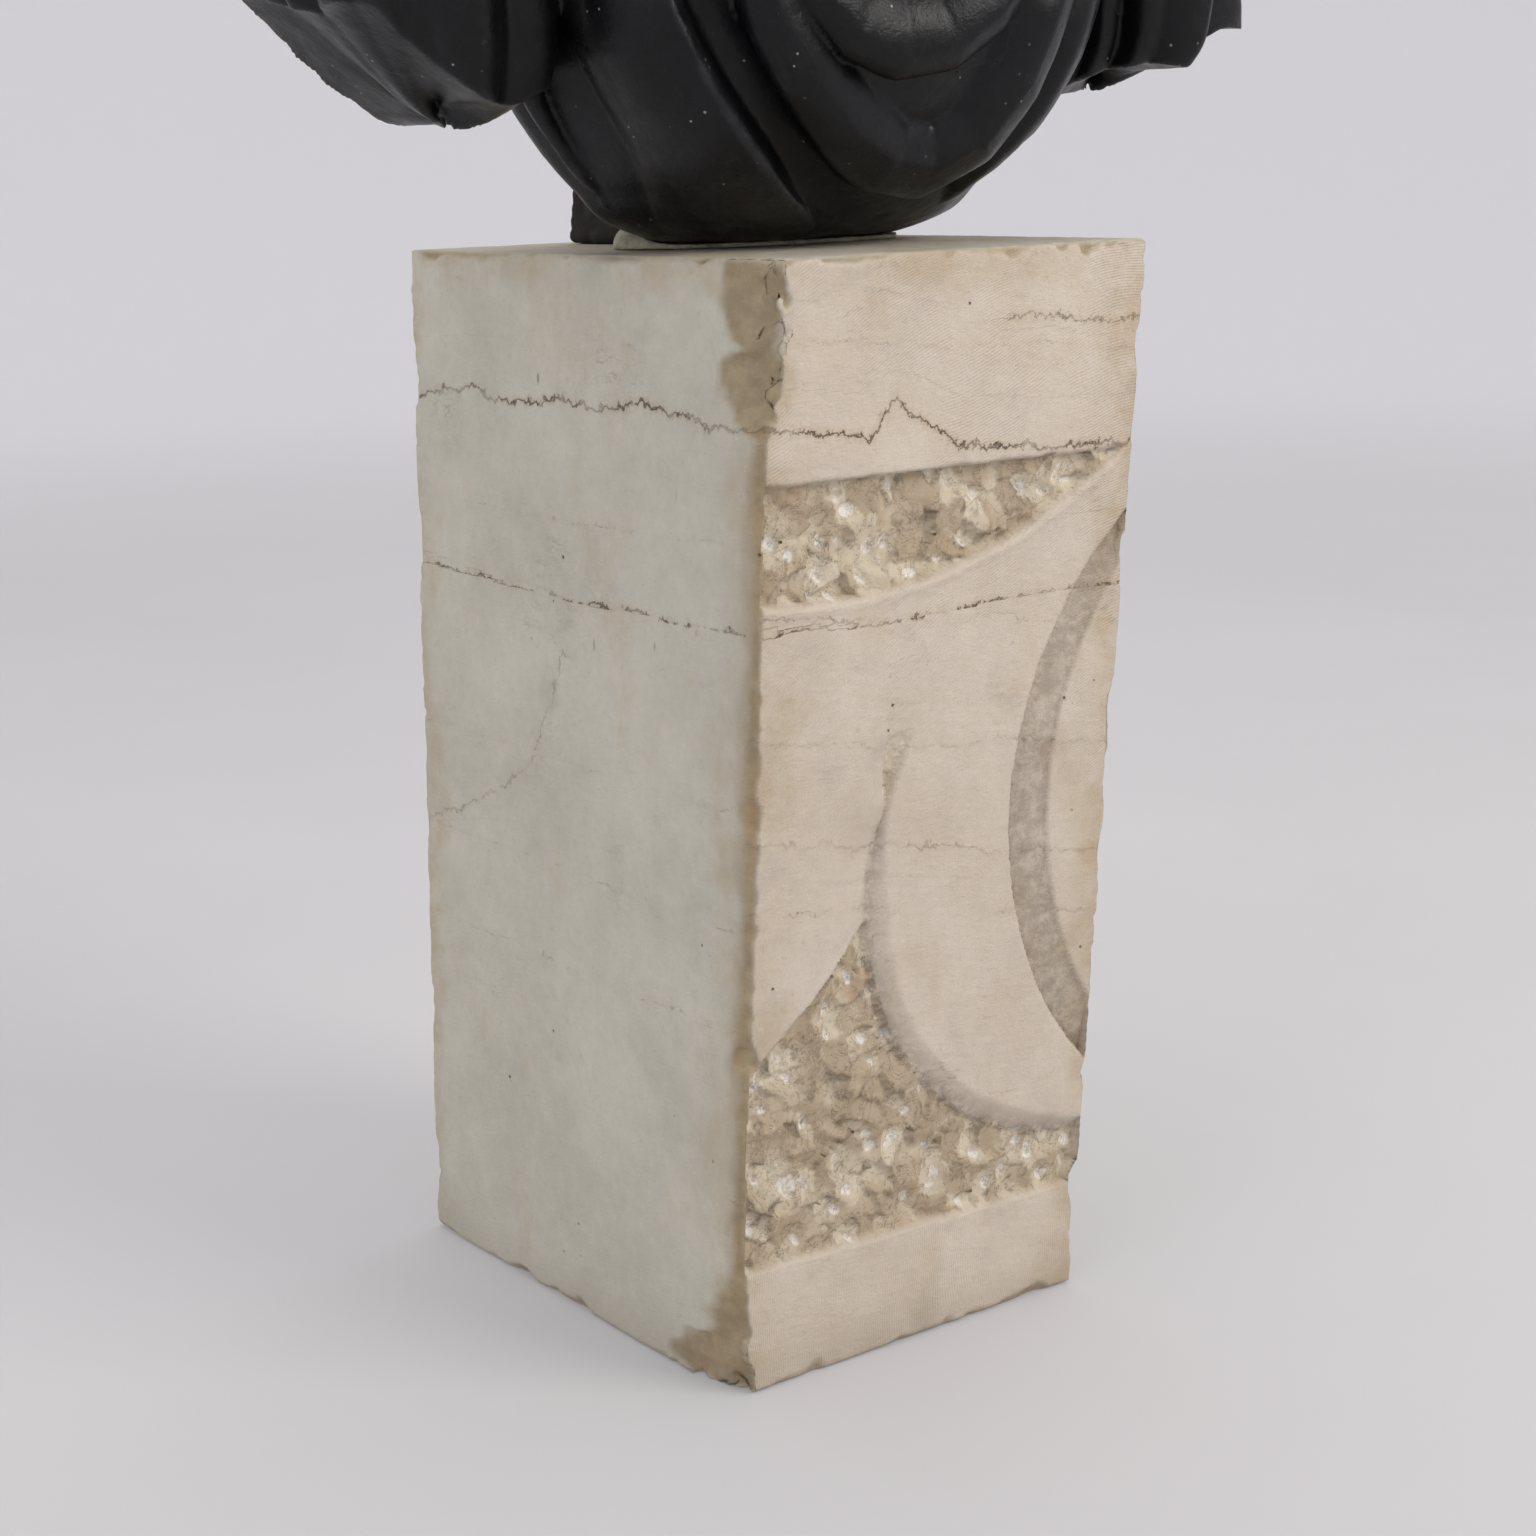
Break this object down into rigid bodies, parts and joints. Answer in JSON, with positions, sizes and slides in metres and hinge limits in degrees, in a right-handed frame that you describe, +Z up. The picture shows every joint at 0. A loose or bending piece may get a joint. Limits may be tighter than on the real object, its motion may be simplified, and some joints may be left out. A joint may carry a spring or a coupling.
{
  "type": "bust on plinth",
  "caption": "Draped dark marble bust with a separately set head, doweled on a re-used carved pale marble block, with a rear support and hollowed back.",
  "frame": {"origin": "centre of the block's bottom face", "axes": "+Z up, -Y towards the carved face and the way the bust faces, +X towards the figure's left arm"},
  "size_m": [0.6039, 0.324, 1.27],
  "materials": {
    "pale_marble": "weathered, honed side and carved front",
    "black_marble": "waxed, semi-matt",
    "brown_stone": "dull",
    "plaster": "matt",
    "lead": "dull grey lead",
    "iron": "dull"
  },
  "bodies": {
    "plinth": {"plinth_block": "pale_marble", "dowel_sleeve": "lead"},
    "dowel": {"bust_dowel": "iron"},
    "bust": {"torso": "black_marble", "head": "black_marble", "support_pillar": "brown_stone", "foot_bedding": "plaster", "neck_setting": "plaster", "neck_dowel": "iron", "pillar_pin_lower": "iron", "pillar_pin_upper": "iron"}
  },
  "joints": [
    {"name": "bust_turn", "type": "hinge", "parent": "plinth", "child": "dowel", "pos_m": [0.038, -0.016, 0.58], "axis": [0, 0, 1], "continuous": true},
    {"name": "bust_lift", "type": "slide", "parent": "dowel", "child": "bust", "axis": [0, 0, 1], "range_m": [0, 0.12]}
  ]
}
